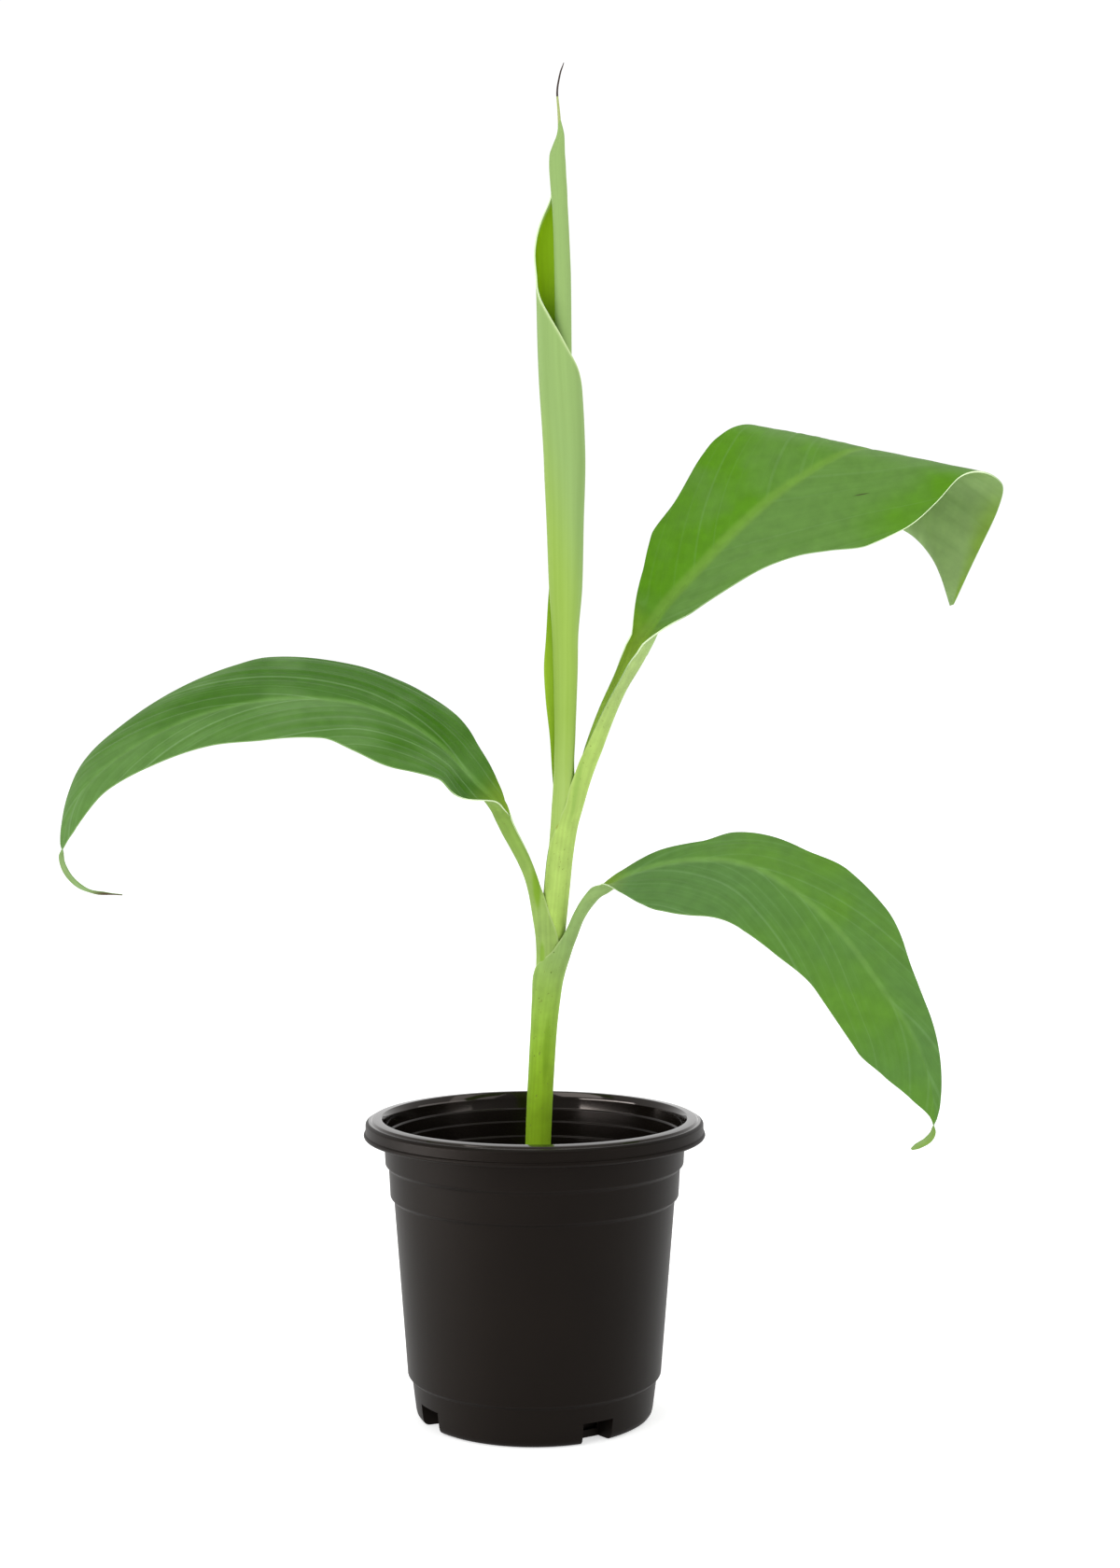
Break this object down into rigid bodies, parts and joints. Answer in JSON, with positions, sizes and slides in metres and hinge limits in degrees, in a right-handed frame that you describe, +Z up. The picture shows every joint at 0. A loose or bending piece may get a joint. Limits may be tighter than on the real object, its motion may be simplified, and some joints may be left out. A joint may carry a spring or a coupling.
{
  "type": "potted banana plant",
  "caption": "Young banana plant in a round moulded nursery pot, with a sheathed stem, arching open leaves and an upright rolled new leaf.",
  "frame": {"origin": "middle of the pot's flat underside", "axes": "+Z up, +X to the right of the plant's front, +Y to its back"},
  "size_m": [0.2964, 0.1129, 0.4306],
  "materials": {
    "pot_plastic": "satin moulded black-brown",
    "potting_mix": "rough, moist",
    "stem_green": "smooth living sheath",
    "stalk_green": "smooth living stalk",
    "blade_green": "satin living leaf",
    "rolled_leaf_green": "satin living leaf"
  },
  "bodies": {
    "root": {"pot": "pot_plastic", "soil": "potting_mix", "stem": "stem_green", "spear_leaf": "rolled_leaf_green", "stalk_left": "stalk_green", "stalk_lower_right": "stalk_green", "stalk_upper_right": "stalk_green", "blade_left_inner": "blade_green", "blade_left_outer": "blade_green", "blade_lower_right_inner": "blade_green", "blade_lower_right_outer": "blade_green", "blade_upper_right_inner": "blade_green", "blade_upper_right_outer": "blade_green"}
  },
  "joints": []
}
